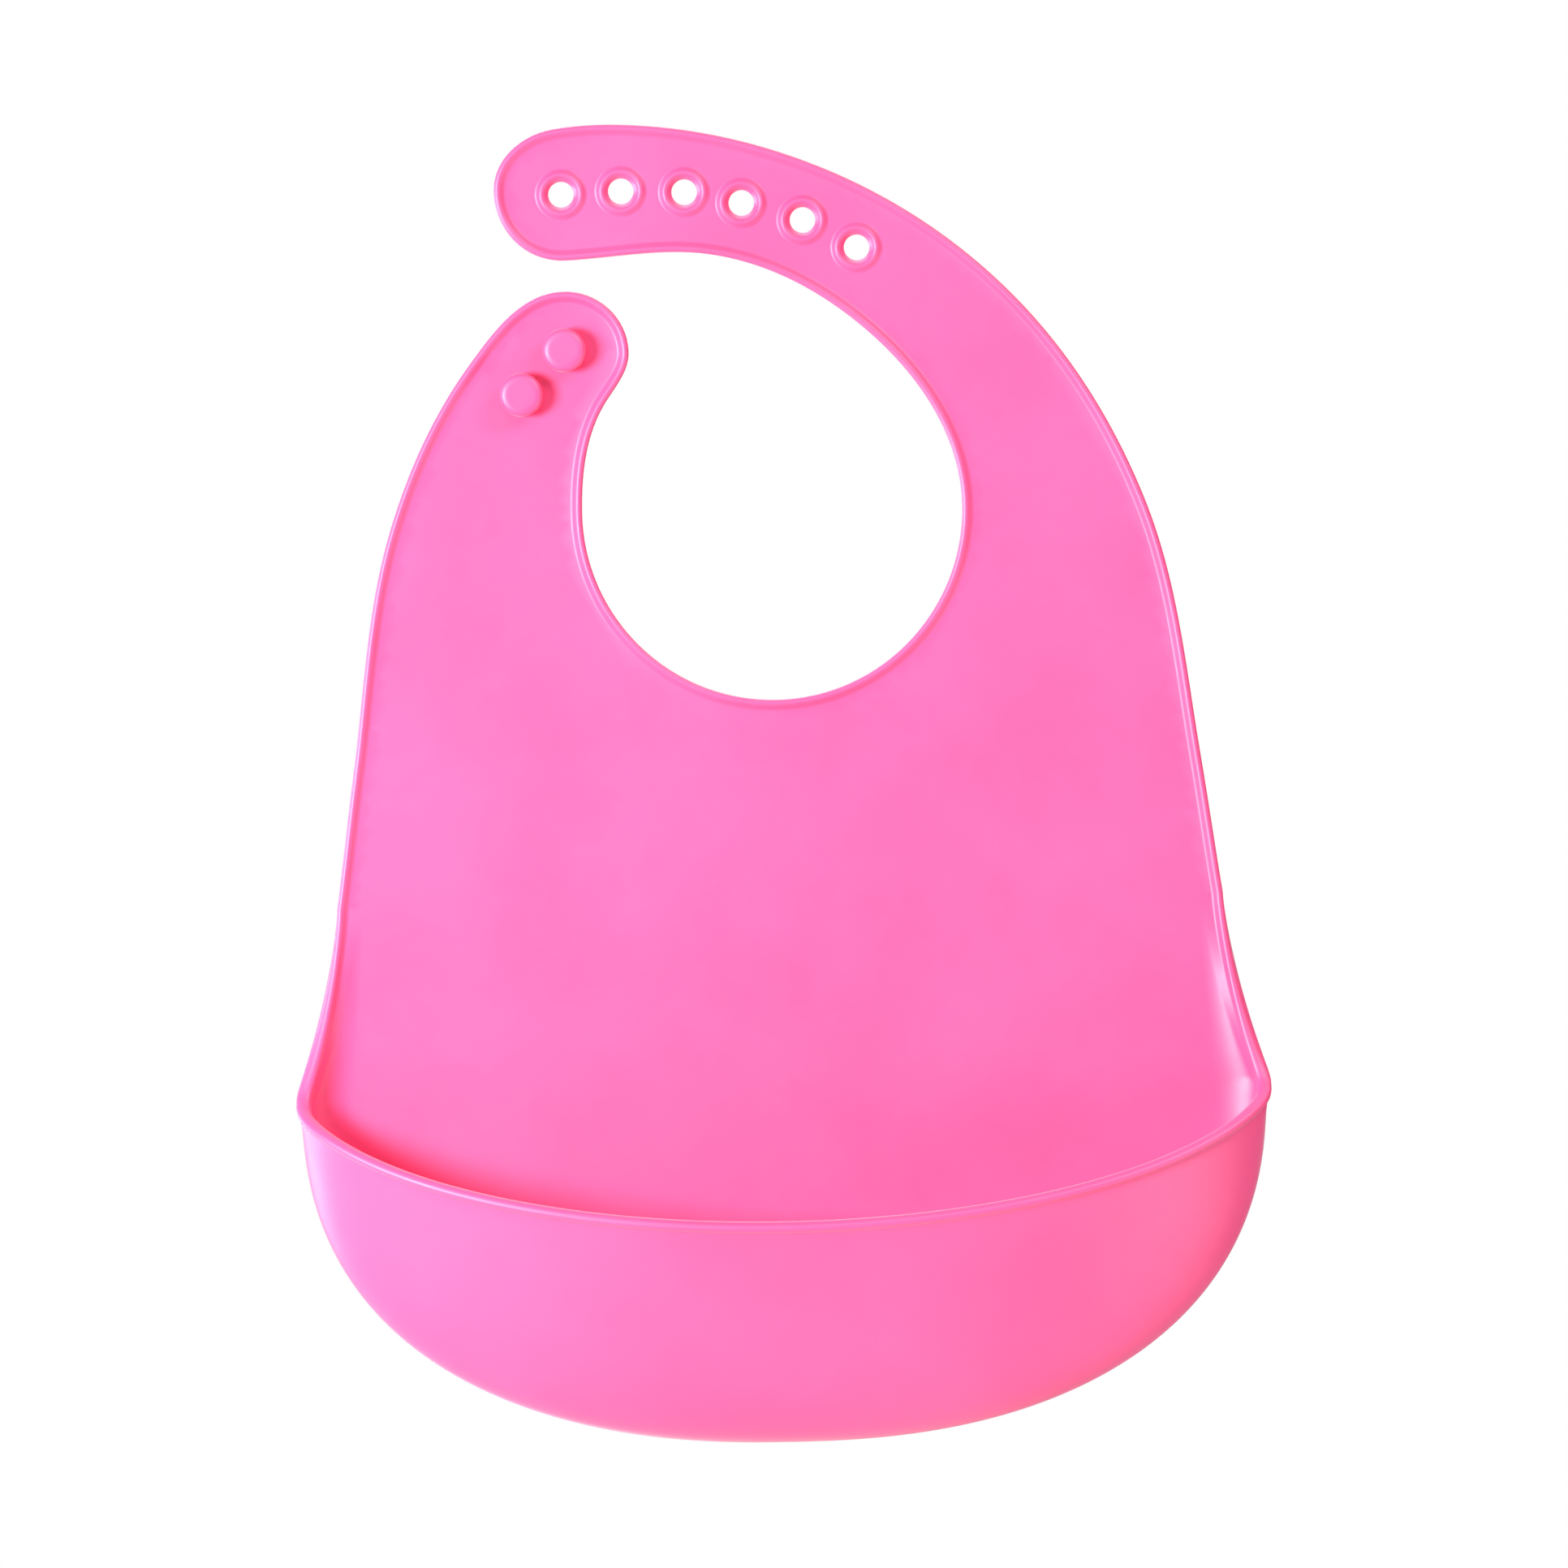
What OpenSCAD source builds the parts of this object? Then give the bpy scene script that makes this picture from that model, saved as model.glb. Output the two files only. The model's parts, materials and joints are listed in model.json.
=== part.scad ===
// Silicone bib with a long holed strap, a short studded tab and a crumb-catcher pocket.
// X is to the wearer's left, Z is up, and the front faces -Y. The origin is the centre of
// the neck opening on the flat back plane. Millimetres.
// The moulding is one sheet of silicone. Here it is divided into its moulded features, and
// the sheet is cut where it bends, so that each bend is a hinge on the sheet's mid-plane.

/* [Sheet] */
// Thickness of the silicone sheet
sheet_t = 2.0; // [1.6:0.1:2.4]
// Width of the raised lip along the free edges
lip_w = 3.0; // [2:0.1:4]
// Height of the lip above the sheet's front face
lip_rise = 1.2; // [0.6:0.1:1.6]

/* [Neck opening] */
// Radius of the neck opening's lower half
neck_r = 44.7; // [42:0.1:46]

/* [Pocket] */
// Half of the width across the pocket's top corners
corner_x = 114; // [112:0.5:117]
// Height of the pocket's top corners, below the neck centre
corner_z = -136.7; // [-140:0.1:-134]
// Height of the rim at the middle of the pocket
rim_mid_z = -167; // [-172:1:-162]
// How far the rim stands forward at the middle
rim_depth = 43; // [36:1:48]
// How far the rim stands forward at the corners
corner_depth = 10; // [8:0.5:12]
// Half width of the pocket's outer silhouette
bowl_x = 111.6; // [110:0.2:113]
// Height of the pocket's outer silhouette below its widest line
bowl_drop = 80.8; // [76:0.2:86]
// Height of the silhouette's widest line
bowl_z = -137.3; // [-140:0.1:-135]
// Width of the rounding between the back sheet and the silhouette
round_w = 12; // [10:0.5:14]

/* [Fastening] */
// Radius of the strap's holes
hole_r = 3.0; // [2.6:0.1:3.2]
// Outer radius of the raised collar round each hole
collar_r = 5.9; // [5.4:0.1:6.4]
// Height of the collar above the sheet's front face
collar_rise = 0.9; // [0.5:0.1:1.2]
// Radius of a stud's stem
stem_r = 2.9; // [2.4:0.1:3.0]
// Radius of a stud's head
head_r = 5.1; // [4.6:0.1:5.6]
// Height of a stud above the sheet's front face
stud_h = 5.0; // [4:0.1:6]

/* [Bends] */
// Radius of the rounded edge that turns at each bend
bend_r = 1.2; // [1.1:0.05:1.3]
// Distance from a bend's axis to the sheet that stays
bend_gap = 1.5; // [1.4:0.1:1.8]
// Gap between the back sheet and the pocket round its edge
pocket_gap = 1.0; // [0.8:0.1:1.4]

/* [Hidden] */
SEGMENTS = 5;

PINK = [1.0, 0.44, 0.71];
DEEP_PINK = [0.98, 0.36, 0.65];
$fn = 48;
reach = 300;
steps = 8;

// The outline as knots [x, z, heading]. Each pair of knots is joined by a smooth curve.
waist = [104.2, -92];
right_knots = [
    [waist[0], waist[1], 98.5], [99.7, -60, 98.5], [88, 0, 110.5], [59.5, 47.5, 132.5],
    [15, 79.5, 156], [-29.5, 91, 175.5], [-50, 90.5, 189], [-64, 75, 274]
];
neck_knots = [
    [-64, 75, 274], [-47.5, 59.5, 2], [-15, 60.5, 352.5], [24.5, 40.5, 317],
    [neck_r, 0, 270], [0, -neck_r, 180], [-neck_r, 0, 90], [-38, 27, 55],
    [-33, 38, 92], [-48, 52.3, 180]
];
left_knots = [
    [-48, 52.3, 180], [-70.5, 35.5, 233], [-90.5, -5, 253], [-99.7, -60, 261.5],
    [-waist[0], waist[1], 261.5]
];

// Strap holes from the tip inwards, and studs from the tab's tip down, as [x, z]
holes = [[-48.2, 75.1], [-34.1, 75.6], [-19.2, 75.1], [-5.8, 72.3], [8.5, 68], [21.1, 61.3]];
studs = [[-48.2, 38.4], [-58.5, 28.1]];

// Bend axes as [x, z, direction of the axis, side of it that moves]
strap_bends = [[67, -8, 5, 1], [62, 17, 25, 1], [49, 38, 40, 1], [31, 54.5, 52, 1], [1.4, 70.2, 74, 1]];
tab_bends = [[-67.5, -10, 175, -1], [-64, 11, 165, -1]];
panel_bends = [[0, -58, 0, -1], [0, -86, 0, -1]];
strap_low_z = 56;

// Edge of the flat sheet, at the waist and behind the pocket
back_waist_x = 98;
back_x = 101;
back_drop = bowl_drop - round_w;
bowl_power = 2 / 2.35;
rim_arc_x = 118;
rim_rise = 39;
silhouette_depth = 6;
silhouette_gain = 8;
wing_low_z = -135.8;
// Share of the rim lip's width that it starts past the pocket's wall, so that the two only meet
rim_seam = 0.02;

// ---- Curves ----

function wrap(turn) = turn - 360 * round(turn / 360);
function dir(angle) = [cos(angle), sin(angle)];
function unit(v) = v / norm(v);
function mix(a, b, t) = a + (b - a) * t;

// Control points of the curve from knot a to knot b: a round arc if their headings allow it
function controls(a, b) =
    let (p = [a[0], a[1]], q = [b[0], b[1]])
    let (h = norm(q - p) / (3 * pow(cos(wrap(b[2] - a[2]) / 4), 2)))
    [p, p + h * dir(a[2]), q - h * dir(b[2]), q];

function bezier(c, t) =
    pow(1 - t, 3) * c[0] + 3 * pow(1 - t, 2) * t * c[1] + 3 * (1 - t) * t * t * c[2] + pow(t, 3) * c[3];

function bezier_way(c, t) =
    unit(pow(1 - t, 2) * (c[1] - c[0]) + 2 * (1 - t) * t * (c[2] - c[1]) + t * t * (c[3] - c[2]));

// Points of a run of knots, moved inset millimetres to the left of the way
function run(knots, inset = 0) = [
    for (i = [0:len(knots) - 2], s = [0:(i == len(knots) - 2 ? steps : steps - 1)])
        let (c = controls(knots[i], knots[i + 1]), w = bezier_way(c, s / steps))
            bezier(c, s / steps) + inset * [-w[1], w[0]]
];

function reversed(list) = [for (i = [len(list) - 1:-1:0]) list[i]];
function tail(list) = [for (i = [1:len(list) - 1]) list[i]];

// Superellipse that both the silhouette and the flat sheet's edge follow, at angle a
function bowl(a, half_w, drop) =
    [half_w * sign(cos(a)) * pow(abs(cos(a)), bowl_power), bowl_z - drop * pow(abs(sin(a)), bowl_power)];

sheet_outline = concat(
    run(right_knots), tail(run(neck_knots)), tail(run(left_knots)), [[-back_waist_x, waist[1]]],
    [for (a = [180:-5:0]) bowl(a, back_x, back_drop)], [[back_waist_x, waist[1]]]
);

// ---- Flat sheet, lips and cuts ----

// Extrudes an outline of [x, z] points from the depth near to the depth far
module slab(outline, near, far) {
    translate([0, -near, 0]) rotate([90, 0, 0]) linear_extrude(far - near) polygon(outline);
}

module sheet_blank() {
    slab(sheet_outline, 0, sheet_t);
}

module lip_blank(knots) {
    slab(concat(run(knots), reversed(run(knots, lip_w))), sheet_t, sheet_t + lip_rise);
}

// Everything on the moving side of a bend, from gap millimetres past its axis
module ahead(bend, gap) {
    translate([bend[0], 0, bend[1]]) rotate([0, -bend[2], 0])
        translate([-reach, -reach / 2, bend[3] > 0 ? gap : -gap - reach]) cube([2 * reach, reach, reach]);
}

// The round edge that turns on a bend's axis
module barrel(bend, length) {
    translate([bend[0], -sheet_t / 2, bend[1]]) rotate([0, 90 - bend[2], 0])
        cylinder(h = length, r = bend_r, center = true);
}

module strap_side() {
    slab([[10, -90], [200, -90], [200, 150], [-150, 150], [-150, strap_low_z], [10, strap_low_z]], -50, 50);
}

module tab_side() {
    slab([[-10, -90], [-10, strap_low_z], [-200, strap_low_z], [-200, -90]], -50, 50);
}

module sheet_from(bend, length) {
    intersection() {
        sheet_blank();
        union() {
            ahead(bend, 0);
            barrel(bend, length);
        }
    }
}

module chest_cut(gap) {
    intersection() {
        strap_side();
        ahead(strap_bends[0], -gap);
    }
    intersection() {
        tab_side();
        ahead(tab_bends[0], -gap);
    }
    ahead(panel_bends[0], -gap);
}

// ---- Chest ----

module chest_sheet() {
    color(PINK) difference() {
        sheet_blank();
        chest_cut(bend_gap);
    }
}

module chest_lip(knots) {
    color(DEEP_PINK) difference() {
        lip_blank(knots);
        chest_cut(bend_gap);
    }
}

// ---- Long strap ----

module strap_sheet(k) {
    color(PINK) difference() {
        intersection() {
            strap_side();
            sheet_from(strap_bends[k - 1], 80);
        }
        if (k < SEGMENTS) ahead(strap_bends[k], -bend_gap);
        for (h = holes)
            translate([h[0], 1, h[1]]) rotate([90, 0, 0]) cylinder(h = sheet_t + 2, r = hole_r);
    }
}

module strap_lip(k, knots) {
    color(DEEP_PINK) difference() {
        intersection() {
            strap_side();
            lip_blank(knots);
            ahead(strap_bends[k - 1], bend_gap);
        }
        if (k < SEGMENTS) ahead(strap_bends[k], -bend_gap);
    }
}

module hole_collar(k) {
    crest_r = collar_r - 1.0;
    color(DEEP_PINK) translate([holes[k - 1][0], -sheet_t, holes[k - 1][1]]) rotate([90, 0, 0])
        rotate_extrude() polygon([
            [hole_r, 0], [collar_r, 0], [collar_r - 0.4, collar_rise * 0.8],
            [crest_r, collar_rise], [crest_r - 0.5, collar_rise]
        ]);
}

// ---- Tab ----

module tab_sheet(k) {
    color(PINK) difference() {
        intersection() {
            tab_side();
            sheet_from(tab_bends[k - 1], 80);
        }
        if (k < 2) ahead(tab_bends[k], -bend_gap);
    }
}

module tab_lip(k, knots) {
    color(DEEP_PINK) difference() {
        intersection() {
            tab_side();
            lip_blank(knots);
            ahead(tab_bends[k - 1], bend_gap);
        }
        if (k < 2) ahead(tab_bends[k], -bend_gap);
    }
}

module stud(place) {
    top_r = head_r - 1.15;
    neck_h = stud_h * 0.45;
    color(PINK) translate([place[0], -sheet_t, place[1]]) rotate([90, 0, 0])
        rotate_extrude() polygon([
            [0, 0], [stem_r, 0], [stem_r, neck_h], [head_r - 0.4, neck_h],
            [head_r, neck_h + 0.6], [head_r, stud_h - 1.0], [top_r, stud_h], [0, stud_h]
        ]);
}

// ---- Panel below the chest ----

module mid_sheet() {
    color(PINK) difference() {
        sheet_from(panel_bends[0], 2 * reach);
        ahead(panel_bends[1], -bend_gap);
    }
}

module mid_lip(knots) {
    color(DEEP_PINK) difference() {
        intersection() {
            lip_blank(knots);
            ahead(panel_bends[0], bend_gap);
        }
        ahead(panel_bends[1], -bend_gap);
    }
}

module lower_sheet() {
    color(PINK) sheet_from(panel_bends[1], 2 * reach);
}

// ---- Wings and pocket ----
// Each section starts on the flat sheet's edge, turns forward to the silhouette and rises to
// the rim. v is 0 at the sheet, 1 at the silhouette, 2 under the lip and 3 at the rim.
// u runs from 0 at the right corner to 1 at the left corner.

function rim_height(x) = rim_mid_z + rim_rise * (1 - sqrt(1 - pow(x / rim_arc_x, 2)));
function rim_out(x) =
    rim_depth - (rim_depth - corner_depth) * (rim_height(x) - rim_mid_z) / (corner_z - rim_mid_z);
function at(p, depth) = [p[0], -depth, p[1]];

// The three guide points of a section: on the sheet, at the silhouette and at the rim
function pocket_guides(u) =
    let (a = 180 * u, x = corner_x * cos(a))
    [
        at(bowl(a, back_x + pocket_gap, back_drop + pocket_gap), sheet_t / 2),
        at(bowl(a, bowl_x, bowl_drop), silhouette_depth + silhouette_gain * sin(a)),
        at([x, rim_height(x)], rim_out(x))
    ];

// The flat sheet's half width between the waist and the pocket
function side_x(z) = mix(back_waist_x, back_x, (z - waist[1]) / (bowl_z - waist[1]));

// The same for the right wing: u is 0 at the waist and 1 just above the pocket's corner
function wing_guides(u) =
    let (z = mix(waist[1], wing_low_z, u), x = mix(waist[0], corner_x, pow(u, 1.35)))
    let (flat = at([side_x(z), z], sheet_t / 2))
    let (edge = at([x, z], mix(sheet_t / 2, corner_depth, pow(u, 1.6))))
    [flat, mix(flat, edge, 0.1 + 0.6 * u) + [0.15 * u * (x - flat[0]), 0, 0], edge];

// Point of a section with guides g at v
function section(g, v) =
    let (turn = 0.55, rise = 0.3 * (g[2][1] - g[1][1]))
    let (lift = g[1] + [0, rise, 0], way = unit(g[2] - lift))
    let (lip = min(lip_w, 0.9 * norm(g[2] - g[1])), under = g[2] - lip * way)
    let (flat = [g[1][0], g[0][1], g[1][2]])
    v < 1 ? bezier([g[0], mix(g[0], flat, turn), mix(g[1], flat, turn), g[1]], v)
    : v < 2 ? bezier([g[1], lift, under - 0.5 * norm(under - lift) * way, under], v - 1)
    : mix(under, g[2], v - 2);

// Unit normal of a section surface, towards the inside of the pocket
function skin_normal(wing, u, v) =
    let (e = 0.001, du = u < 0.5 ? e : -e, dv = v < 2.5 ? e : -e)
    let (p = skin(wing, u, v), along = skin(wing, u + du, v) - p, across = skin(wing, u, v + dv) - p)
    unit(cross(along / du, across / dv));

function skin(wing, u, v) = section(wing ? wing_guides(u) : pocket_guides(u), v);

// Closed shell over a patch of a section surface, with its own thickness to each side
module patch(wing, columns, v0, v1, rows, inner, outer) {
    width = rows + 1;
    size = (columns + 1) * width;
    grid = [
        for (i = [0:columns], j = [0:rows])
            let (u = i / columns, v = mix(v0, v1, j / rows), n = skin_normal(wing, u, v))
                [skin(wing, u, v), n]
    ];
    points = concat([for (g = grid) g[0] + inner * g[1]], [for (g = grid) g[0] - outer * g[1]]);
    faces = concat(
        [for (i = [0:columns - 1], j = [0:rows - 1]) let (a = i * width + j) each [
            [a, a + 1, a + width + 1], [a, a + width + 1, a + width],
            [size + a, size + a + width + 1, size + a + 1], [size + a, size + a + width, size + a + width + 1]
        ]],
        [for (i = [0:columns - 1], end = [0, rows]) let (a = i * width + end, b = a + width) each
            end == 0 ? [[a, b, size + b], [a, size + b, size + a]] : [[b, a, size + a], [b, size + a, size + b]]
        ],
        [for (j = [0:rows - 1], end = [0, columns]) let (a = end * width + j, b = a + 1) each
            end == 0 ? [[b, a, size + a], [b, size + a, size + b]] : [[a, b, size + b], [a, size + b, size + a]]
        ]
    );
    polyhedron(points, faces);
}

module wing() {
    patch(true, 10, 0, 2, 6, sheet_t / 2, sheet_t / 2);
}

// The wing's lip, and the flat lip above it up to the bend
module wing_lip() {
    patch(true, 10, 2, 3, 1, sheet_t / 2 + lip_rise, sheet_t / 2);
    difference() {
        intersection() {
            lip_blank(right_knots);
            ahead(panel_bends[1], bend_gap);
        }
        ahead([0, waist[1], 0, -1], 0);
    }
}

module pocket_trough() {
    color(PINK) patch(false, 36, 0, 1, 5, sheet_t / 2, sheet_t / 2);
}

module pocket_front() {
    color(PINK) patch(false, 36, 1, 2, 8, sheet_t / 2, sheet_t / 2);
}

module pocket_rim_lip() {
    color(DEEP_PINK) patch(false, 36, 2 + rim_seam, 3, 1, sheet_t / 2 + lip_rise / 2, sheet_t / 2 + lip_rise / 2);
}

// ---- Nodes ----

chest_sheet();
chest_lip(right_knots);  // chest_lip_right
chest_lip(neck_knots);  // chest_lip_neck
chest_lip(left_knots);  // chest_lip_left
for (k = [1:SEGMENTS]) {
    strap_sheet(k);
    strap_lip(k, right_knots);
    strap_lip(k, neck_knots);
}
for (k = [1:6])
    hole_collar(k);
for (k = [1:2]) {
    tab_sheet(k);
    tab_lip(k, left_knots);
    tab_lip(k, neck_knots);
}
stud(studs[0]);  // stud_upper
stud(studs[1]);  // stud_lower
mid_sheet();
mid_lip(right_knots);  // mid_lip_right
mid_lip(left_knots);  // mid_lip_left
lower_sheet();
color(PINK) wing();  // wing_right
color(PINK) mirror([1, 0, 0]) wing();  // wing_left
color(DEEP_PINK) wing_lip();  // wing_lip_right
color(DEEP_PINK) mirror([1, 0, 0]) wing_lip();  // wing_lip_left
pocket_trough();
pocket_front();
pocket_rim_lip();
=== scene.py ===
"""Looks of the silicone bib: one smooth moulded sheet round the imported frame, cut where it is rigid."""

import json
import math

import bmesh
import bpy
import numpy as np
from mathutils import Matrix, Vector, geometry


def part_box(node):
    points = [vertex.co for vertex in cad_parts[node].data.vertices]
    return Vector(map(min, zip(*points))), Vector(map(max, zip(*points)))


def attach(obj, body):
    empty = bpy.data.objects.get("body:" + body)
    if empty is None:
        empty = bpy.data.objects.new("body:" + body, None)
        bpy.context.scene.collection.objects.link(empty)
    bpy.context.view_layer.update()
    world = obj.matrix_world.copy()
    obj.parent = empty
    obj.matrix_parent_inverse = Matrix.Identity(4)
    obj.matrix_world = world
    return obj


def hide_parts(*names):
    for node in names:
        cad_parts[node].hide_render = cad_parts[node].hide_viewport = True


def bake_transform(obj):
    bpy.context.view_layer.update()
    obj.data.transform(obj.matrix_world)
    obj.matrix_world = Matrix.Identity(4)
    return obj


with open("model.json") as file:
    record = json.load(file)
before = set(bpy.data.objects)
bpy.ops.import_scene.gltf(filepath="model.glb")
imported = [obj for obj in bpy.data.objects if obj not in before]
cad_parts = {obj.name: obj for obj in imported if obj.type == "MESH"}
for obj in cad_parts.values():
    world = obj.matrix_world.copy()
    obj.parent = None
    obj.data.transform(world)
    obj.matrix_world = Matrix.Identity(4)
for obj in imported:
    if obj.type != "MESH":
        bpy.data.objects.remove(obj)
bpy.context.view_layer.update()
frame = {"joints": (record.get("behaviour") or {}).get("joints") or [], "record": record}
joints = {j["name"]: j for j in frame["joints"]}
mounts = {m["name"]: m for m in frame["record"]["mounts"]}

# ---------------------------------------------------------------- sizes, in millimetres

MM = 0.001
HALF_T = -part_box("chest_sheet")[0].y / MM / 2

# The lip round the free edge: its width, its rise from the front face, and how far in and how far down its
# front and its back are rounded. Over the pocket's rim it rises from both faces, and both are rounded alike.
LIP, LIP_RISE = 2.8, 1.2
LIP_CREST, LIP_DROP = 0.95, 1.0
LIP_FOOT, LIP_LIFT = 0.7, 0.7
RIM_RISE, RIM_CREST, RIM_ROUND = 0.75, 1.35, 1.6

# Length of a face along the edge, and in the middle of the sheet
EDGE_STEP, SHEET_STEP = 1.3, 2.6

# The outline's knots (x, z, heading), right side, neck side and left side, as in the CAD
RIGHT_KNOTS = [
    (104.2, -92, 98.5), (99.7, -60, 98.5), (88, 0, 110.5), (59.5, 47.5, 132.5),
    (15, 79.5, 156), (-29.5, 91, 175.5), (-50, 90.5, 189), (-64, 75, 274),
]
NECK_KNOTS = [
    (-64, 75, 274), (-47.5, 59.5, 2), (-15, 60.5, 352.5), (24.5, 40.5, 317), (44.7, 0, 270),
    (0, -44.7, 180), (-44.7, 0, 90), (-38, 27, 55), (-33, 38, 92), (-48, 52.3, 180),
]
LEFT_KNOTS = [
    (-48, 52.3, 180), (-70.5, 35.5, 233), (-90.5, -5, 253), (-99.7, -60, 261.5), (-104.2, -92, 261.5),
]
WAIST_X, WAIST_Z, WAIST_TILT = 104.2, -92.0, math.radians(8.5)

# The pocket: its corners, its rim and the bowl-shaped silhouette below them
CORNER_X, CORNER_DEPTH, CORNER_Z = 114.0, 10.0, -136.7
RIM_Z, RIM_DEPTH, RIM_ARC_X, RIM_ARC_RISE = -167.0, 43.0, 118.0, 39.0
BOWL_X, BOWL_DROP, BOWL_Z, BOWL_POWER = 112.4, 80.8, -137.3, 2 / 2.35

# Where the pocket and the wing leave the flat back
BACK_X, BACK_DROP = 101.0, 68.8
BACK_WAIST_X = 98.0

# Depth of the silhouette at the corner, and how much deeper it is at the middle
SIDE_DEPTH, SIDE_GAIN = 6.0, 8.0

# How the wing curls forward: powers of its width and its depth, and the share of its section that its
# silhouette takes at the waist, and across its height
WING_WIDEN, WING_CURL = 1.35, 1.6
WING_START, WING_HALF = 0.1, 0.5

# Share of the half rim over which the wall turns from the corner's lean to straight forward
LEAN_END = 0.08

# A section's curves: how far the wall's first arm goes towards the edge, how far its second arm comes back
# from the lip, and how far the trough's arms go towards the corner between the sheet and the wall
WALL_ARM, LIP_ARM, TROUGH_ARM = 0.3, 0.5, 0.55

# The corner's rounding: how wide its running mean is, and how far it reaches along the edge
EASE, EASE_REACH = 2.8, 16.0

WING_COLUMNS, POCKET_COLUMNS = 36, 120
TROUGH_ROWS, WALL_ROWS = 10, 26

# Radii where the collars and the studs meet the sheet, and the sides of every circle
COLLAR_FOOT_R = 6.2
STUD_FOOT_R = 4.3
ROUND_STEPS = 48


def place(node_or_mount):
    """(x, z) in millimetres of a mount, or of a CAD node's middle."""
    if node_or_mount in mounts:
        x, _, z = mounts[node_or_mount]["pos_m"]
        return x / MM, z / MM
    low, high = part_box(node_or_mount)
    return (low.x + high.x) / 2 / MM, (low.z + high.z) / 2 / MM


HOLES = [place(f"strap_hole_{k}") for k in range(1, 7)]
STUDS = [place("stud_upper"), place("stud_lower")]
CIRCLES = [(x, z, COLLAR_FOOT_R) for x, z in HOLES] + [(x, z, STUD_FOOT_R) for x, z in STUDS]

# ---------------------------------------------------------------- curves


def way(degrees):
    """Unit vector (x, z) of a heading."""
    return np.array([math.cos(math.radians(degrees)), math.sin(math.radians(degrees))])


def unit(v):
    return v / np.linalg.norm(v)


def mix(a, b, t):
    """a at t = 0, b at t = 1, and straight in between."""
    return a + (b - a) * t


def smooth(t):
    """0 below 0, 1 above 1, and level at both ends of the rise between them."""
    t = min(max(t, 0.0), 1.0)
    return t * t * (3 - 2 * t)


def bezier(c, t):
    """Point of a cubic Bezier curve with the four control points c."""
    return (1 - t) ** 3 * c[0] + 3 * (1 - t) ** 2 * t * c[1] + 3 * (1 - t) * t * t * c[2] + t**3 * c[3]


def bezier_way(c, t):
    """Unit heading of that curve."""
    return unit((1 - t) ** 2 * (c[1] - c[0]) + 2 * (1 - t) * t * (c[2] - c[1]) + t * t * (c[3] - c[2]))


def run(knots):
    """(point, unit heading) at even steps along a run of knots, without the last point."""
    made = []
    for a, b in zip(knots, knots[1:]):
        p, q = np.array(a[:2], float), np.array(b[:2], float)
        turn = (b[2] - a[2] + 180) % 360 - 180
        arm = np.linalg.norm(q - p) / (3 * math.cos(math.radians(turn / 4)) ** 2)
        c = [p, p + arm * way(a[2]), q - arm * way(b[2]), q]
        count = math.ceil(np.linalg.norm(q - p) / EDGE_STEP)
        made += [(bezier(c, k / count), bezier_way(c, k / count)) for k in range(count)]
    return made


# ---------------------------------------------------------------- pocket sections


def bowl(a, half_w, drop):
    """(x, z) on a bowl-shaped outline: a is 0 at its right end and a quarter turn at its bottom."""
    return half_w * abs(math.cos(a)) ** BOWL_POWER, BOWL_Z - drop * abs(math.sin(a)) ** BOWL_POWER


def rim_height(x):
    """Height of the pocket's rim, which sags to the middle as an elliptic arc."""
    return RIM_Z + RIM_ARC_RISE * (1 - math.sqrt(1 - (x / RIM_ARC_X) ** 2))


def rim_depth(x):
    """How far the rim stands forward, in proportion to its sag."""
    return RIM_DEPTH - (RIM_DEPTH - CORNER_DEPTH) * (rim_height(x) - RIM_Z) / (CORNER_Z - RIM_Z)


def at(xz, depth):
    """Point in space at a depth in front of the back plane."""
    return np.array([xz[0], -depth, xz[1]])


def pocket_guides(u):
    """Points of a section on the sheet, at the silhouette and at the rim, and its way at the silhouette.
    u is 0 at the right corner and 1 at the middle."""
    a = math.pi / 2 * u
    x = CORNER_X * math.cos(a)
    back = at(bowl(a, BACK_X, BACK_DROP), HALF_T)
    side = at(bowl(a, BOWL_X, BOWL_DROP), SIDE_DEPTH + SIDE_GAIN * math.sin(a))
    edge = at((x, rim_height(x)), rim_depth(x))
    return back, side, edge, unit(mix(unit(edge - side), at((0, 0), 1), smooth(u / LEAN_END)))


def wing_guides(u):
    """The same for the right wing. u is 0 at the waist and 1 at the pocket's corner."""
    low = pocket_guides(0)
    z = mix(WAIST_Z, low[2][2], u)
    x = mix(WAIST_X, CORNER_X, u**WING_WIDEN)
    back_x = mix(BACK_WAIST_X, BACK_X, u)
    drop = (x - back_x) * math.tan(WAIST_TILT) * (1 - u)
    edge = at((x, z), mix(HALF_T, CORNER_DEPTH, u**WING_CURL))
    back = at((back_x, mix(z, z + low[0][2] - low[2][2], u) - drop), HALF_T)
    share = (low[1] - low[0]) / np.where(low[2] == low[0], 1, low[2] - low[0])
    share[2] = WING_HALF
    side = back + (edge - back) * share * mix(WING_START, 1.0, u)
    return back, side, edge, unit(edge - side)


def section(guides, v):
    """Point of a section: v is 0 at the sheet, 1 at the silhouette, 2 under the lip and 3 at the edge."""
    back, side, edge, lean = guides
    lift = side + WALL_ARM * abs(edge[1] - side[1]) * lean
    up = unit(edge - lift)
    under = edge - LIP * up
    if v < 1:
        turn = side - lean * (back[1] - side[1]) / max(-lean[1], 1e-6)
        return bezier([back, mix(back, turn, TROUGH_ARM), mix(side, turn, TROUGH_ARM), side], v)
    if v < 2:
        return bezier([side, lift, under - LIP_ARM * np.linalg.norm(under - lift) * up, under], v - 1)
    return mix(under, edge, v - 2)


def normal(guides_at, u, v):
    """Unit normal towards the inside of the pocket, which is the front of the flat sheet."""
    e = 0.002
    du = e if u < 0.5 else -e
    p = section(guides_at(u), v)
    along = (section(guides_at(u + du), v) - p) / du
    across = (section(guides_at(u), v + e) - p) / e
    return unit(np.cross(along, across))


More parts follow.
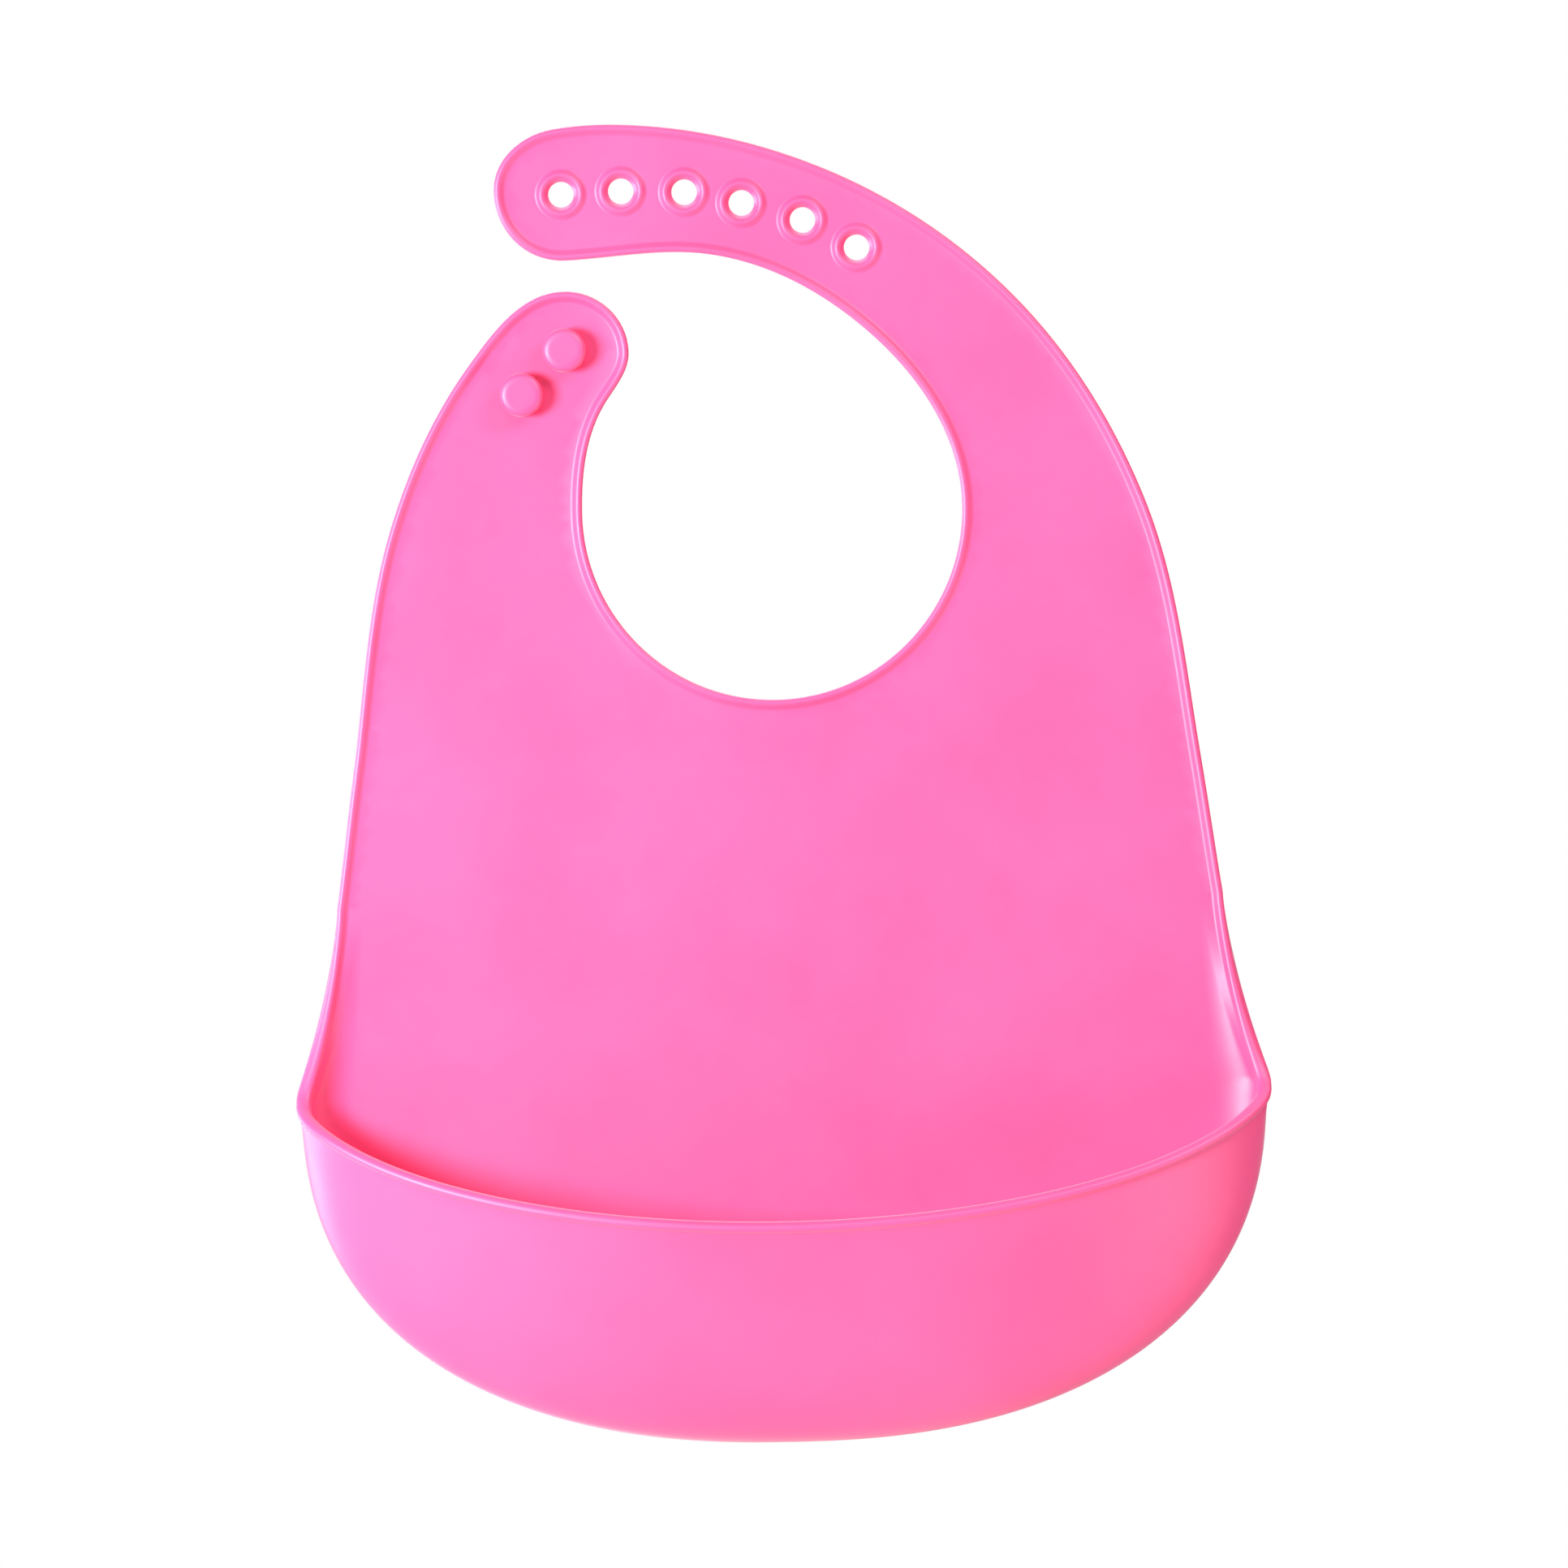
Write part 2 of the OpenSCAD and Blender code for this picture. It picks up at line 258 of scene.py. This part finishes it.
ROWS = [k / TROUGH_ROWS for k in range(TROUGH_ROWS)] + [1 + k / WALL_ROWS for k in range(WALL_ROWS + 1)]


def column(guides_at, u, rim_share):
    """One section of the right half: its middle points and normals, its edge, and how far it is a rim."""
    guides = guides_at(u)
    points = [section(guides, v) for v in ROWS]
    normals = [normal(guides_at, u, v) for v in ROWS]
    edge = section(guides, 3)
    return {"p": points, "n": normals, "edge": edge, "out": unit(edge - points[-1]), "rim": rim_share}


def ease_corner(columns, corner):
    """Rounds the edge where the wing meets the rim, with a running mean along it that EASE mm widens."""
    edge = np.array([c["edge"] for c in columns])
    length = np.concatenate([[0], np.cumsum(np.linalg.norm(np.diff(edge, axis=0), axis=1))])
    share = np.exp(-0.5 * ((length[:, None] - length) / EASE) ** 2) * np.gradient(length)
    share /= share.sum(1)[:, None]
    mean_edge = share @ edge
    mean_out = share @ np.array([c["out"] for c in columns])
    mean_n = np.tensordot(share, np.array([c["n"] for c in columns]), 1)
    for k, c in enumerate(columns):
        near = 1 - smooth(min(1.0, abs(length[k] - length[corner]) / EASE_REACH))
        shift = (mean_edge[k] - c["edge"]) * near
        for r, v in enumerate(ROWS):
            high = smooth(max(0.0, v - 1))
            c["p"][r] = c["p"][r] + shift * high
            c["n"][r] = unit(mix(c["n"][r], mean_n[k][r], near * high))
        c["edge"] = c["edge"] + shift
        c["out"] = unit(mix(c["out"], mean_out[k], near))


def right_columns():
    """Sections of the right wing and the right half of the pocket, from the waist to the middle."""
    wing = [column(wing_guides, k / WING_COLUMNS, smooth(k / WING_COLUMNS)) for k in range(WING_COLUMNS)]
    bowl_part = [column(pocket_guides, k / POCKET_COLUMNS, 1.0) for k in range(POCKET_COLUMNS + 1)]
    columns = wing + bowl_part
    ease_corner(columns, WING_COLUMNS)
    return columns


def mirrored(c):
    """The same column on the left half."""
    flip = np.array([-1, 1, 1])
    return {
        "p": [p * flip for p in c["p"]], "n": [n * flip for n in c["n"]],
        "edge": c["edge"] * flip, "out": c["out"] * flip, "rim": c["rim"],
    }


# ---------------------------------------------------------------- lip


def lip_profile(rim):
    """(distance in from the edge, height from the sheet's middle) round the lip, from front to back."""
    front, back = mix(LIP_RISE, RIM_RISE, rim), mix(0.0, RIM_RISE, rim)
    top, low = HALF_T + front, -HALF_T - back
    crest, foot = mix(LIP_CREST, RIM_CREST, rim), mix(LIP_FOOT, RIM_CREST, rim)
    drop, lift = mix(LIP_DROP, RIM_ROUND, rim), mix(LIP_LIFT, RIM_ROUND, rim)
    slope = [(mix(LIP, crest, t), HALF_T + front * smooth(t)) for t in np.linspace(0, 1, 8)]
    over = [
        (crest * (1 - math.sin(a)), top - drop * (1 - math.cos(a)))
        for a in np.linspace(0, math.pi / 2, 7)[1:]
    ]
    under = [
        (foot * (1 - math.cos(a)), low + lift * (1 - math.sin(a)))
        for a in np.linspace(0, math.pi / 2, 6)
    ]
    home = [(mix(foot, LIP, t), -HALF_T - back * (1 - smooth(t))) for t in np.linspace(0, 1, 8)[1:]]
    return slope + over + under + home


# ---------------------------------------------------------------- the whole sheet


def inside(points, polygon):
    """Whether each 2-D point lies inside the polygon."""
    x, z = points[:, 0][:, None], points[:, 1][:, None]
    ax, az = polygon[:, 0][None], polygon[:, 1][None]
    bx, bz = np.roll(ax, -1), np.roll(az, -1)
    crosses = ((az > z) != (bz > z)) & (x < (bx - ax) * (z - az) / np.where(bz == az, 1e-9, bz - az) + ax)
    return crosses.sum(1) % 2 == 1


def circle_points(x, z, r):
    """Evenly spaced points (x, z) on a circle."""
    turns = np.linspace(0, 2 * math.pi, ROUND_STEPS, endpoint=False)
    return np.column_stack([x + r * np.cos(turns), z + r * np.sin(turns)])


def in_a_circle(points, spare=0.0):
    """Whether each 2-D point lies in the foot of a collar or a stud, or within spare of it."""
    hit = np.zeros(len(points), bool)
    for x, z, r in CIRCLES:
        hit |= np.hypot(points[:, 0] - x, points[:, 1] - z) < r + spare
    return hit


def filling(border):
    """Points inside the border in a staggered grid, clear of the border and the circles."""
    low, high = border.min(0), border.max(0)
    rows = np.arange(low[1], high[1], SHEET_STEP * math.sqrt(3) / 2)
    grid = np.array([
        (x + (k % 2) * SHEET_STEP / 2, z)
        for k, z in enumerate(rows)
        for x in np.arange(low[0], high[0], SHEET_STEP)
    ])
    grid = grid[inside(grid, border)]
    near = np.array([np.min(np.hypot(*(border - p).T)) for p in grid]) < SHEET_STEP / 2
    return grid[~near & ~in_a_circle(grid, SHEET_STEP / 2)]


class Shell:
    """Points and faces of the sheet while it is built. Points on its two faces go in (front, back) pairs."""

    def __init__(self):
        self.points, self.faces = [], []

    def add(self, point):
        self.points.append(point)
        return len(self.points) - 1

    def quad(self, a, b, c, d):
        self.faces.append((a, b, c, d))

    def ring(self, edge, out, n, rim):
        """The lip's outline at one point of the edge. out points away from the sheet, and n to its front."""
        return [self.add(edge - d * out + h * n) for d, h in lip_profile(rim)]

    def mesh(self):
        made = bmesh.new()
        verts = [made.verts.new(p * MM) for p in self.points]
        for f in self.faces:
            made.faces.new([verts[i] for i in f])
        bmesh.ops.remove_doubles(made, verts=made.verts, dist=1e-7)
        bmesh.ops.dissolve_degenerate(made, edges=made.edges, dist=1e-8)
        bmesh.ops.recalc_face_normals(made, faces=made.faces)
        return made


def flat_rings(shell):
    """The lip round the flat outline, from the right waist over both straps to the left waist."""
    flat = run(RIGHT_KNOTS) + run(NECK_KNOTS) + run(LEFT_KNOTS)
    flat.append((np.array([-WAIST_X, WAIST_Z]), way(LEFT_KNOTS[-1][2])))
    front = np.array([0, -1, 0])
    return [shell.ring(at(p, HALF_T), np.array([w[1], 0, -w[0]]), front, 0.0) for p, w in flat]


def pocket_grid(shell, rings):
    """Columns of (front, back) pairs over the wings and the pocket, from the left waist to the right one.
    Their own lip is added to rings, which it joins at both waists."""
    right = right_columns()
    columns = [mirrored(c) for c in right] + right[:-1][::-1]
    ends = {0: rings[-1], len(columns) - 1: rings[0]}
    grid = []
    for k, c in enumerate(columns):
        edge_ring = ends.get(k) or shell.ring(c["edge"], c["out"], c["n"][-1], c["rim"])
        if k not in ends:
            rings.append(edge_ring)
        middle = zip(c["p"][:-1], c["n"][:-1])
        pairs = [(shell.add(p + HALF_T * n), shell.add(p - HALF_T * n)) for p, n in middle]
        grid.append(pairs + [(edge_ring[0], edge_ring[-1])])
    return grid


def add_quads(shell, rings, grid):
    """Faces of the whole lip, and of the wings and the pocket."""
    for one, two in zip(rings, rings[1:] + rings[:1]):
        for k in range(len(one) - 1):
            shell.quad(one[k], one[k + 1], two[k + 1], two[k])
    for one, two in zip(grid, grid[1:]):
        for r in range(len(ROWS) - 1):
            shell.quad(one[r][0], one[r + 1][0], two[r + 1][0], two[r][0])
            shell.quad(one[r][1], two[r][1], two[r + 1][1], one[r + 1][1])


def add_flat(shell, border):
    """Both faces of the flat sheet within its border, and the walls of the holes in it."""
    spots = np.array([[shell.points[f][0], shell.points[f][2]] for f, _ in border])
    loops = [list(range(len(border)))]
    pairs = list(border)
    for x, z, r in CIRCLES:
        first = len(spots)
        spots = np.vstack([spots, circle_points(x, z, r)])
        loops.append(list(range(first, len(spots))))
    spots = np.vstack([spots, filling(spots[: len(border)])])
    for x, z in spots[len(border):]:
        pairs.append((shell.add(np.array([x, -2 * HALF_T, z])), shell.add(np.array([x, 0, z]))))

    edges = [(a, b) for loop in loops for a, b in zip(loop, loop[1:] + loop[:1])]
    net = geometry.delaunay_2d_cdt([Vector(s) for s in spots], edges, [], 0, 1e-6, True)
    source = [ids[0] for ids in net[3]]
    triangles = np.array([[source[v] for v in face] for face in net[2]])
    middles = spots[triangles].mean(1)
    for a, b, c in triangles[inside(middles, spots[: len(border)]) & ~in_a_circle(middles)]:
        shell.faces.append((pairs[a][0], pairs[b][0], pairs[c][0]))
        shell.faces.append((pairs[a][1], pairs[c][1], pairs[b][1]))
    for loop in loops[1:]:
        for a, b in zip(loop, loop[1:] + loop[:1]):
            shell.quad(pairs[a][0], pairs[b][0], pairs[b][1], pairs[a][1])


def build_sheet():
    """The whole bib as one closed mesh, with holes where the collars and the studs go through."""
    shell = Shell()
    rings = flat_rings(shell)
    border = [(r[0], r[-1]) for r in rings]
    grid = pocket_grid(shell, rings)
    border += grid[0][-2::-1] + [c[0] for c in grid[1:-1]] + grid[-1][:-1]
    add_quads(shell, rings, grid)
    add_flat(shell, border)
    return shell.mesh()


# ---------------------------------------------------------------- cuts where the sheet is rigid


BACK = Vector((0, 1, 0))


def chain(leader, count, positive):
    """Each bend's middle, and the unit direction in the sheet towards the side that moves.
    positive is the side, BACK or -BACK, to which a positive angle turns it."""
    bends = [joints[leader if k == 1 else f"{leader}_{k}"] for k in range(1, count + 1)]
    return [(Vector(j["pos_m"]), positive.cross(Vector(j["axis"])).normalized()) for j in bends]


def seams(bends, lead):
    """(point, direction) of the cut before each bend: lead metres before the first bend, and half way
    between each later bend and the one before it."""
    made = [(bends[0][0] - bends[0][1] * lead, bends[0][1])]
    for (p, d), (q, e) in zip(bends, bends[1:]):
        made.append(((p + q) / 2, (d + e).normalized()))
    return made


STRAP = chain("long_strap_curl", 5, BACK)
TAB = chain("short_strap_curl", 2, BACK)
PANEL = chain("panel_fold", 2, -BACK)

# In metres: the panel lies below the first height, and the strap's tip above the second
PANEL_HIGH_Z, STRAP_LOW_Z = -0.040, 0.056

# How far before its first bend a chain is cut, and how far after its last bend the panel is
STRAP_LEAD, PANEL_LEAD, PANEL_TAIL = 0.011, 0.0085, 0.0125
CUTS = {
    "strap": seams(STRAP, STRAP_LEAD),
    "tab": seams(TAB, STRAP_LEAD),
    "panel": [
        (Vector((0, 0, PANEL[0][0].z + PANEL_LEAD)), PANEL[0][1]),
        ((PANEL[0][0] + PANEL[1][0]) / 2, PANEL[0][1]),
        (Vector((0, 0, PANEL[1][0].z - PANEL_TAIL)), PANEL[0][1]),
    ],
}

# Faces this close to a cut are split by it, and edges sharper than this aren't shaded smooth
CUT_REACH = 0.006
SHARP = math.radians(50)


def side_of(point):
    """Which chain a point of the sheet can belong to."""
    if point.z < PANEL_HIGH_Z:
        return "panel"
    return "strap" if point.x > 0 or point.z > STRAP_LOW_Z else "tab"


def zone(point):
    """(chain, number of its seams that lie behind the point): 0 is the chest."""
    side = side_of(point)
    passed = sum((point - p).dot(d) > 0 for p, d in CUTS[side])
    return (side, passed) if passed else ("chest", 0)


def split_at_seams(sheet):
    """Adds edges to the sheet along every cut."""
    for side, cuts in CUTS.items():
        for point, direction in cuts:
            mine = [f for f in sheet.faces if side_of(f.calc_center_median()) == side]
            near = [f for f in mine if abs((f.calc_center_median() - point).dot(direction)) < CUT_REACH]
            geom = set(near) | {e for f in near for e in f.edges} | {v for f in near for v in f.verts}
            bmesh.ops.bisect_plane(sheet, geom=list(geom), dist=1e-7, plane_co=point, plane_no=direction)


def closed_part(sheet, number):
    """The faces with this number as their own mesh, capped where it was cut."""
    part = sheet.copy()
    layer = part.faces.layers.int["zone"]
    bmesh.ops.delete(part, geom=[f for f in part.faces if f[layer] != number], context="FACES")
    open_edges = [e for e in part.edges if e.is_boundary]
    caps = bmesh.ops.holes_fill(part, edges=open_edges, sides=0)["faces"]
    for e in open_edges:
        e.smooth = False
    for f in part.faces:
        f.smooth = True
    for e in part.edges:
        if len(e.link_faces) == 2 and e.calc_face_angle() > SHARP:
            e.smooth = False
    for f in caps:
        f.smooth = False
    bmesh.ops.triangulate(part, faces=caps)
    return part


def cut_sheet(sheet):
    """Cuts the sheet along every seam, and returns {zone: its own closed mesh}."""
    split_at_seams(sheet)
    layer = sheet.faces.layers.int.new("zone")
    names = []
    for f in sheet.faces:
        name = zone(f.calc_center_median())
        if name not in names:
            names.append(name)
        f[layer] = names.index(name)
    return {name: closed_part(sheet, k) for k, name in enumerate(names)}


# ---------------------------------------------------------------- round pieces


def turned(profile, x, z):
    """A closed solid of revolution round the Y line through (x, z). The profile is (radius, y) pairs from
    the axis or the bore, round the front, to the back. One that starts on a bore is closed into a ring."""
    mesh = bmesh.new()
    rows = []
    for r, y in profile:
        if r < 1e-6:
            rows.append([mesh.verts.new((x * MM, y * MM, z * MM))])
        else:
            round_it = circle_points(x, z, r)
            rows.append([mesh.verts.new((px * MM, y * MM, pz * MM)) for px, pz in round_it])
    pairs = list(zip(rows, rows[1:]))
    if len(rows[0]) > 1:
        pairs.append((rows[-1], rows[0]))
    for one, two in pairs:
        for k in range(ROUND_STEPS):
            m = (k + 1) % ROUND_STEPS
            corners = [one[k % len(one)], one[m % len(one)], two[m % len(two)], two[k % len(two)]]
            face = list(dict.fromkeys(corners))
            if len(face) > 2:
                mesh.faces.new(face)
    bmesh.ops.recalc_face_normals(mesh, faces=mesh.faces)
    return mesh


def finish_round(mesh, foot_r, x, z):
    """Smooth all over, apart from the hidden wall where the piece goes through the sheet."""
    for f in mesh.faces:
        f.smooth = True
    for v in mesh.verts:
        v.tag = abs(math.hypot(v.co.x / MM - x, v.co.z / MM - z) - foot_r) < 1e-3
    for e in mesh.edges:
        if all(v.tag for v in e.verts) and abs(e.verts[0].co.y - e.verts[1].co.y) < 1e-6:
            e.smooth = False
    return mesh


def arc(centre_r, centre_y, size_r, size_y, start, stop, steps=6):
    """Points (radius, y) on an ellipse in a turned profile, from start to stop degrees. Angle 0 points away
    from the axis, and 90 to the front."""
    return [
        (centre_r + size_r * math.cos(math.radians(a)), centre_y - size_y * math.sin(math.radians(a)))
        for a in np.linspace(start, stop, steps)
    ]


def collar(x, z):
    """A countersunk ring: hole, funnel, rounded crest, and an outer slope that runs out into the sheet."""
    top, bore, back_round = -2 * HALF_T, 3.0, 0.35
    crest, rise, sink = 4.65, 1.0, 0.8
    profile = [(bore, -back_round), (bore, top + sink)]
    profile += [
        (mix(bore, crest, t), mix(top + sink, top - rise, math.sin(math.pi / 2 * t)))
        for t in np.linspace(0, 1, 11)[1:]
    ]
    profile += [
        (mix(crest, COLLAR_FOOT_R, t), top - rise * (1 - smooth(t)))
        for t in np.linspace(0, 1, 11)[1:]
    ]
    profile += [(COLLAR_FOOT_R, 0)]
    profile += arc(bore + back_round, -back_round, back_round, back_round, -90, -180, 5)[:-1]
    return finish_round(turned(profile, x, z), COLLAR_FOOT_R, x, z)


def stud(x, z):
    """A mushroom stud: a round-edged head with a flat top, its underside, the stem and its fillet."""
    top = -2 * HALF_T
    stem, head, flat_r = 2.9, 5.1, 3.3
    neck, brim, cap = top - 2.2, top - 3.6, top - 5.0
    under, nook, fillet = 0.6, 0.35, 1.3
    profile = [(0, cap), (flat_r * 0.6, cap), (flat_r - 0.15, cap)]
    profile += arc(flat_r, brim, head - flat_r, brim - cap, 84, 8, 7)
    profile += [(head, brim)]
    profile += arc(head - under, neck - under, under, under, 0, -90, 5)
    profile += arc(stem + nook, neck + nook, nook, nook, 90, 180, 5)
    profile += arc(stem + fillet, top - fillet, fillet, fillet, 180, 270, 8)[1:]
    profile += [(STUD_FOOT_R, top), (STUD_FOOT_R, 0), (0, 0)]
    return finish_round(turned(profile, x, z), STUD_FOOT_R, x, z)


# ---------------------------------------------------------------- material


def silicone():
    """Matte pink silicone: a fine moulded grain, faint cloudiness and a soft bright sheen."""
    material = bpy.data.materials.new("pink_silicone")
    material.use_nodes = True
    nodes, links = material.node_tree.nodes, material.node_tree.links
    shader = nodes["Principled BSDF"]

    coordinates = nodes.new("ShaderNodeTexCoord")

    def noise(scale, detail):
        node = nodes.new("ShaderNodeTexNoise")
        node.inputs["Scale"].default_value = scale
        node.inputs["Detail"].default_value = detail
        links.new(coordinates.outputs["Object"], node.inputs["Vector"])
        return node

    cloud = noise(22, 3)
    tint = nodes.new("ShaderNodeValToRGB")
    deep, pale = tint.color_ramp.elements
    deep.position, deep.color = 0.35, (0.965, 0.063, 0.230, 1)
    pale.position, pale.color = 0.65, (0.985, 0.076, 0.256, 1)
    links.new(cloud.outputs["Fac"], tint.inputs["Fac"])
    links.new(tint.outputs["Color"], shader.inputs["Base Color"])

    patchy = noise(300, 4)
    rough = nodes.new("ShaderNodeMapRange")
    rough.inputs["To Min"].default_value = 0.43
    rough.inputs["To Max"].default_value = 0.53
    links.new(patchy.outputs["Fac"], rough.inputs["Value"])
    links.new(rough.outputs["Result"], shader.inputs["Roughness"])

    grain = noise(2600, 2)
    fine = nodes.new("ShaderNodeBump")
    fine.inputs["Strength"].default_value = 0.25
    fine.inputs["Distance"].default_value = 0.00004
    links.new(grain.outputs["Fac"], fine.inputs["Height"])
    links.new(fine.outputs["Normal"], shader.inputs["Normal"])

    shader.inputs["Sheen Weight"].default_value = 0.45
    shader.inputs["Sheen Roughness"].default_value = 0.4
    shader.inputs["Specular IOR Level"].default_value = 1.0
    shader.inputs["IOR"].default_value = 1.41
    return material


# ---------------------------------------------------------------- pieces


PINK = silicone()


def piece(name, mesh, *replaced):
    """A silicone object from a bmesh, in place of the CAD nodes that it replaces."""
    data = bpy.data.meshes.new(name)
    mesh.to_mesh(data)
    mesh.free()
    data.materials.append(PINK)
    obj = bpy.data.objects.new(name, data)
    bpy.context.scene.collection.objects.link(obj)
    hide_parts(*replaced)
    return obj


def bends_with(obj):
    """Bakes obj's transform into its mesh, which leaves it where it is."""
    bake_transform(obj)


# Metres to each side of its axis, one for each bend of the long strap
STRAP_REACH = [0.0085, 0.0085, 0.0085, 0.0085, 0.013]

parts = cut_sheet(build_sheet())

chest = piece(
    "chest_panel", parts[("chest", 0)],
    "chest_sheet", "chest_lip_right", "chest_lip_neck", "chest_lip_left",
)
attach(chest, "chest_panel")

for k, (joint_bend, reach) in enumerate(zip(STRAP, STRAP_REACH), start=1):
    strap = piece(
        f"long_strap_{k}", parts[("strap", k)],
        f"strap_sheet_{k}", f"strap_lip_outer_{k}", f"strap_lip_inner_{k}",
    )
    bends_with(strap)

for k, joint_bend in enumerate(TAB, start=1):
    tab = piece(
        f"stud_tab_{k}", parts[("tab", k)],
        f"tab_sheet_{k}", f"tab_lip_outer_{k}", f"tab_lip_inner_{k}",
    )
    bends_with(tab)

upper = piece("panel_bend_upper", parts[("panel", 1)], "mid_sheet", "mid_lip_right", "mid_lip_left")
bends_with(upper)
lower = piece("panel_bend_lower", parts[("panel", 2)])
bends_with(lower)

pocket = piece(
    "pocket_panel", parts[("panel", 3)],
    "lower_sheet", "wing_right", "wing_left", "wing_lip_right", "wing_lip_left",
    "pocket_trough", "pocket_front", "pocket_rim_lip",
)
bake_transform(pocket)

for k, (x, z) in enumerate(HOLES, start=1):
    ring_piece = piece(f"hole_collar_ring_{k}", collar(x, z), f"hole_collar_{k}")
    if k in (4, 5):
        bends_with(ring_piece)
    else:
        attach(ring_piece, "strap_5" if k < 4 else "strap_4")
for node, (x, z) in zip(("stud_upper", "stud_lower"), STUDS):
    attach(piece(f"{node}_button", stud(x, z), node), "tab_2")

# ---------------------------------------------------------------- stage, light and camera

scene = bpy.context.scene
scene.view_settings.view_transform = "Standard"

# What the camera and the softboxes point at, in metres
MIDDLE = Vector((0.0015, 0, -0.0646))

# The floor is small and partly lit from within, so that it looks pale but sends little light up to the bib
FLOOR_Z, FLOOR_R, FLOOR_SIDES = -0.45, 0.6, 96


def white_paper():
    """Matt white paper."""
    paper = bpy.data.materials.new("white_paper")
    paper.use_nodes = True
    shader = paper.node_tree.nodes["Principled BSDF"]
    shader.inputs["Base Color"].default_value = (0.5, 0.5, 0.5, 1)
    shader.inputs["Roughness"].default_value = 0.9
    shader.inputs["Emission Color"].default_value = (1, 1, 1, 1)
    shader.inputs["Emission Strength"].default_value = 0.22
    return paper


def make_floor():
    """A plain round floor below the bib."""
    mesh = bpy.data.meshes.new("floor")
    shape = bmesh.new()
    bmesh.ops.create_circle(shape, cap_ends=True, segments=FLOOR_SIDES, radius=FLOOR_R)
    shape.to_mesh(mesh)
    shape.free()
    mesh.materials.append(white_paper())
    floor = bpy.data.objects.new("floor", mesh)
    floor.location.z = FLOOR_Z
    scene.collection.objects.link(floor)


def make_tent():
    """White all round for the camera. The bib gets light from the softboxes and very little from the tent."""
    world = bpy.data.worlds.new("tent")
    world.use_nodes = True
    nodes, links = world.node_tree.nodes, world.node_tree.links
    backdrop = nodes["Background"]
    backdrop.inputs["Color"].default_value = (1, 1, 1, 1)
    backdrop.inputs["Strength"].default_value = 1.0
    ambient = nodes.new("ShaderNodeBackground")
    ambient.inputs["Strength"].default_value = 0.03
    path = nodes.new("ShaderNodeLightPath")
    either = nodes.new("ShaderNodeMixShader")
    links.new(path.outputs["Is Camera Ray"], either.inputs["Fac"])
    links.new(ambient.outputs["Background"], either.inputs[1])
    links.new(backdrop.outputs["Background"], either.inputs[2])
    links.new(either.outputs["Shader"], nodes["World Output"].inputs["Surface"])
    scene.world = world


SOFTBOX_DISTANCE = 1.2


def softbox(name, azimuth, elevation, width, height, power):
    """A rectangular lamp aimed at the bib's middle, with its sides in metres and its power in watts.
    Azimuth 0 is the front, and it grows to the right."""
    a, e = math.radians(azimuth), math.radians(elevation)
    outward = Vector((math.sin(a) * math.cos(e), -math.cos(a) * math.cos(e), math.sin(e)))
    lamp = bpy.data.lights.new(name, "AREA")
    lamp.shape = "RECTANGLE"
    lamp.size, lamp.size_y = width, height
    lamp.energy = power
    obj = bpy.data.objects.new(name, lamp)
    obj.location = MIDDLE + SOFTBOX_DISTANCE * outward
    obj.rotation_euler = (-outward).to_track_quat("-Z", "Y").to_euler()
    scene.collection.objects.link(obj)


make_floor()
make_tent()

softbox("key_left", -44, 3, 0.4, 0.36, 29)
softbox("front_left", -10, 35, 0.5, 0.5, 2.5)
softbox("rim_left", -112, -5, 0.5, 0.7, 14)
softbox("fill_right_high", 45, 40, 0.5, 0.5, 8)
softbox("fill_right_low", 60, -20, 0.6, 0.45, 4)
softbox("back_left", -150, 55, 0.8, 0.8, 8)
softbox("back_right", 150, 50, 0.8, 0.8, 6)

# A very long lens, nearly without perspective. FRAME_W is the width in metres that fills the picture.
camera = bpy.data.cameras.new("camera")
camera.lens = 600
camera.sensor_width = 36
FRAME_W = 0.369
ROLL = math.radians(1.15)
distance = FRAME_W * camera.lens / camera.sensor_width
eye = bpy.data.objects.new("camera", camera)
eye.matrix_world = (
    Matrix.Translation(MIDDLE + Vector((0, -distance, 0)))
    @ Matrix.Rotation(math.radians(90), 4, "X")
    @ Matrix.Rotation(-ROLL, 4, "Z")
)
scene.collection.objects.link(eye)
scene.camera = eye
